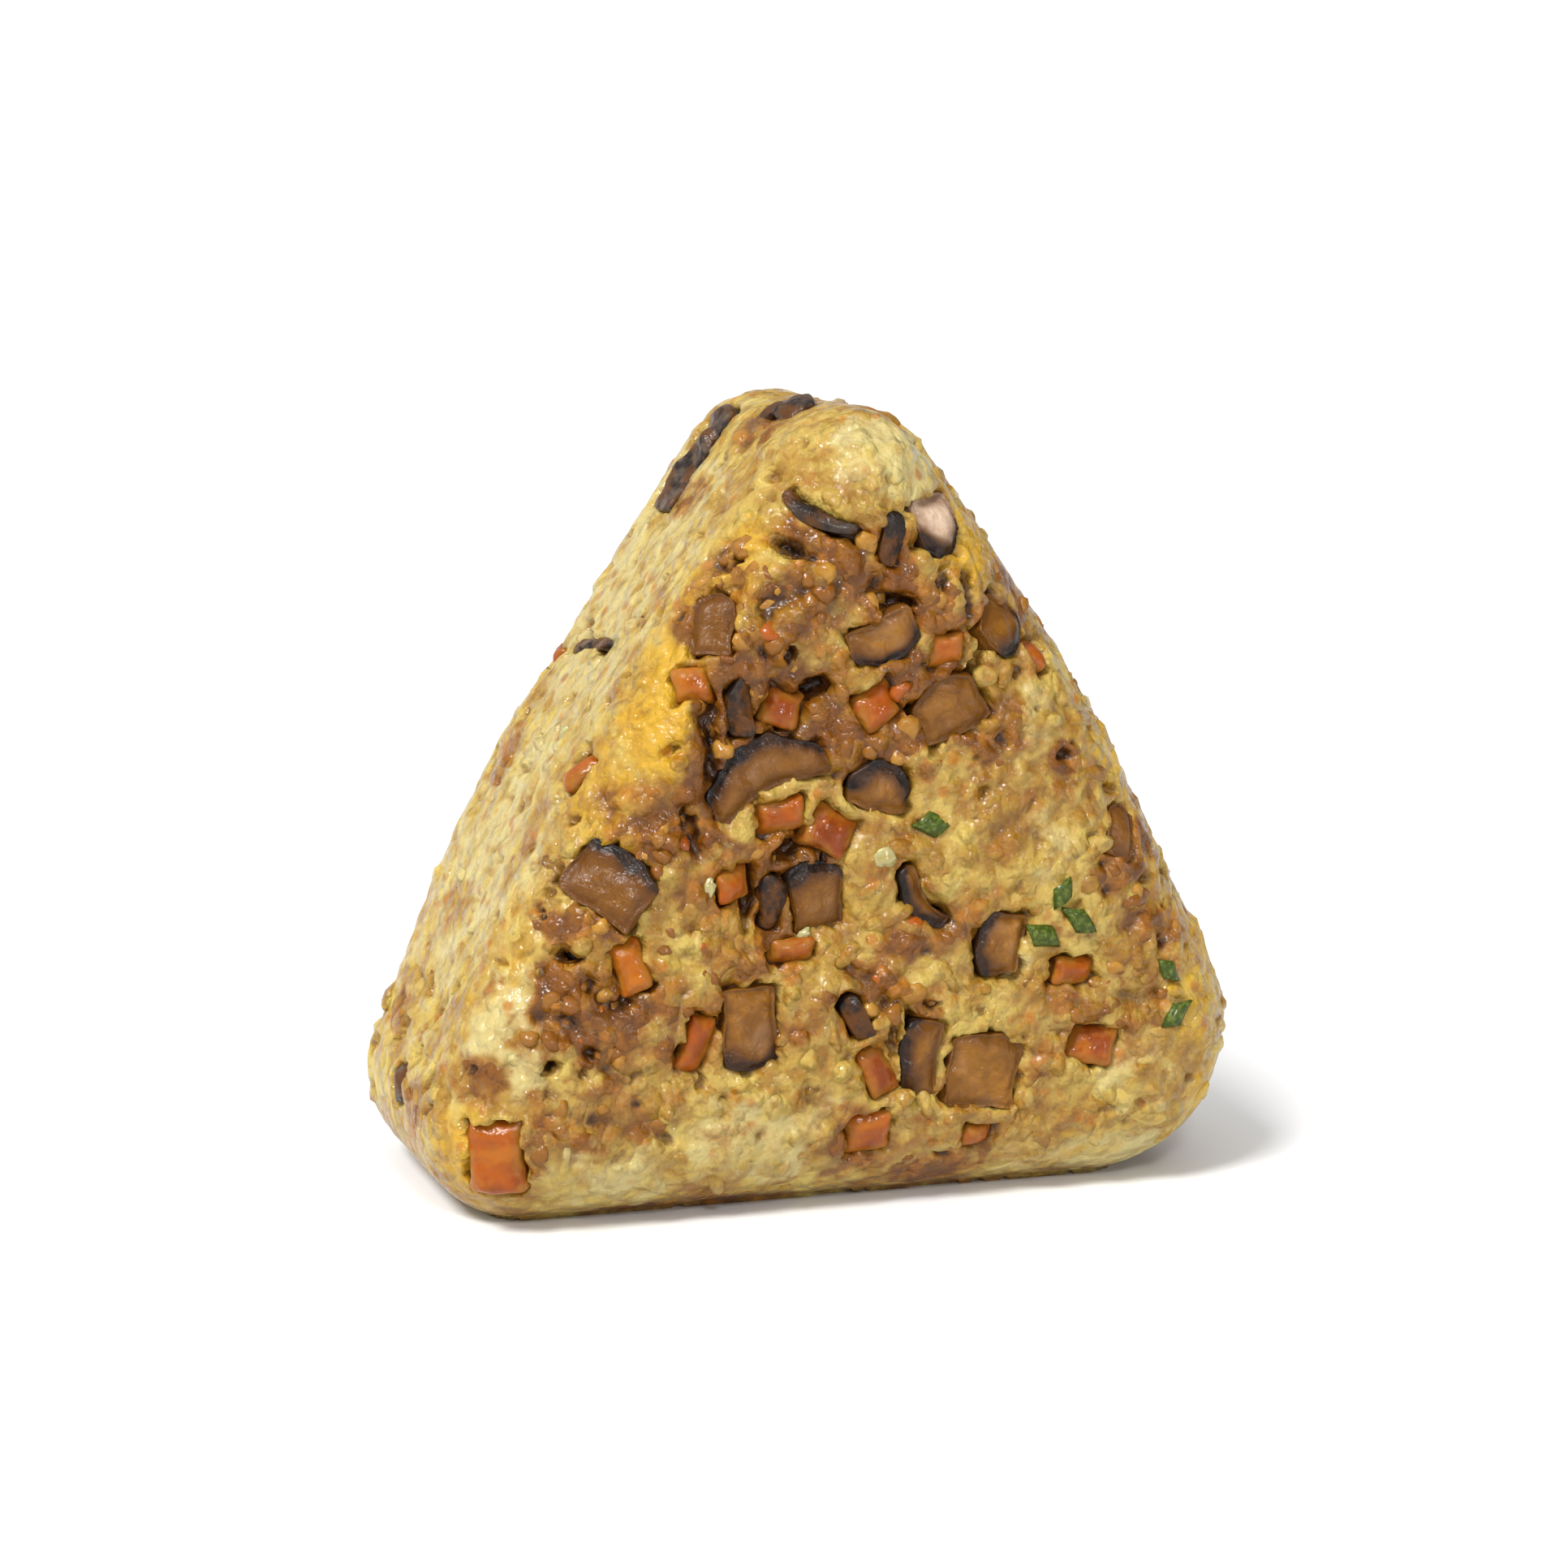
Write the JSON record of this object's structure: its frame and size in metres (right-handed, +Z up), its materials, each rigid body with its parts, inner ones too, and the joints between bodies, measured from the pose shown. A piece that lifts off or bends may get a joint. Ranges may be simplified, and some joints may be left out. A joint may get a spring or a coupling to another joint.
{
  "type": "onigiri rice ball",
  "caption": "Triangular rice ball of pressed seasoned rice with slices of brown mushroom and dice of carrot showing at its surface; stands on a narrow side.",
  "frame": {"origin": "middle of the flat foot, on the surface that the rice ball stands on", "axes": "+X along the width of the triangle, to the right as seen from the front; +Y through the thickness, away from the front face; +Z up to the rounded tip"},
  "size_m": [0.0816, 0.0412, 0.0749],
  "materials": {
    "rice": "moist cooked short-grain rice, cream to golden, stained brown by soy seasoning, softly glossy",
    "mushroom": "simmered shiitake, beige-brown flesh with a thin blue-black skin, wet gloss",
    "carrot": "cooked carrot, orange, wet gloss",
    "chive": "cut green onion, dark green, moist",
    "mince": "crumbled seasoned mince and sauce, brown, moist"
  },
  "bodies": {
    "root": {"rice_ball": "rice", "mushroom_front_01": "mushroom", "mushroom_front_02": "mushroom", "mushroom_front_03": "mushroom", "mushroom_front_04": "mushroom", "mushroom_front_05": "mushroom", "mushroom_front_06": "mushroom", "mushroom_front_07": "mushroom", "mushroom_front_08": "mushroom", "mushroom_front_09": "mushroom", "mushroom_front_10": "mushroom", "mushroom_front_11": "mushroom", "mushroom_front_12": "mushroom", "mushroom_front_13": "mushroom", "mushroom_front_14": "mushroom", "mushroom_front_15": "mushroom", "mushroom_front_16": "mushroom", "mushroom_front_17": "mushroom", "mushroom_front_18": "mushroom", "mushroom_front_19": "mushroom", "mushroom_front_20": "mushroom", "mushroom_left_01": "mushroom", "mushroom_left_02": "mushroom", "mushroom_left_03": "mushroom", "mushroom_left_04": "mushroom", "mushroom_right_01": "mushroom", "mushroom_right_02": "mushroom", "mushroom_back_01": "mushroom", "mushroom_back_02": "mushroom", "mushroom_back_03": "mushroom", "mushroom_back_04": "mushroom", "mushroom_back_05": "mushroom", "carrot_front_01": "carrot", "carrot_front_02": "carrot", "carrot_front_03": "carrot", "carrot_front_04": "carrot", "carrot_front_05": "carrot", "carrot_front_06": "carrot", "carrot_front_07": "carrot", "carrot_front_08": "carrot", "carrot_front_09": "carrot", "carrot_front_10": "carrot", "carrot_front_11": "carrot", "carrot_front_12": "carrot", "carrot_front_13": "carrot", "carrot_front_14": "carrot", "carrot_front_15": "carrot", "carrot_front_16": "carrot", "carrot_front_17": "carrot", "carrot_left_01": "carrot", "carrot_left_02": "carrot", "carrot_right_01": "carrot", "carrot_right_02": "carrot", "carrot_back_01": "carrot", "carrot_back_02": "carrot", "carrot_back_03": "carrot", "carrot_back_04": "carrot"}
  },
  "joints": []
}
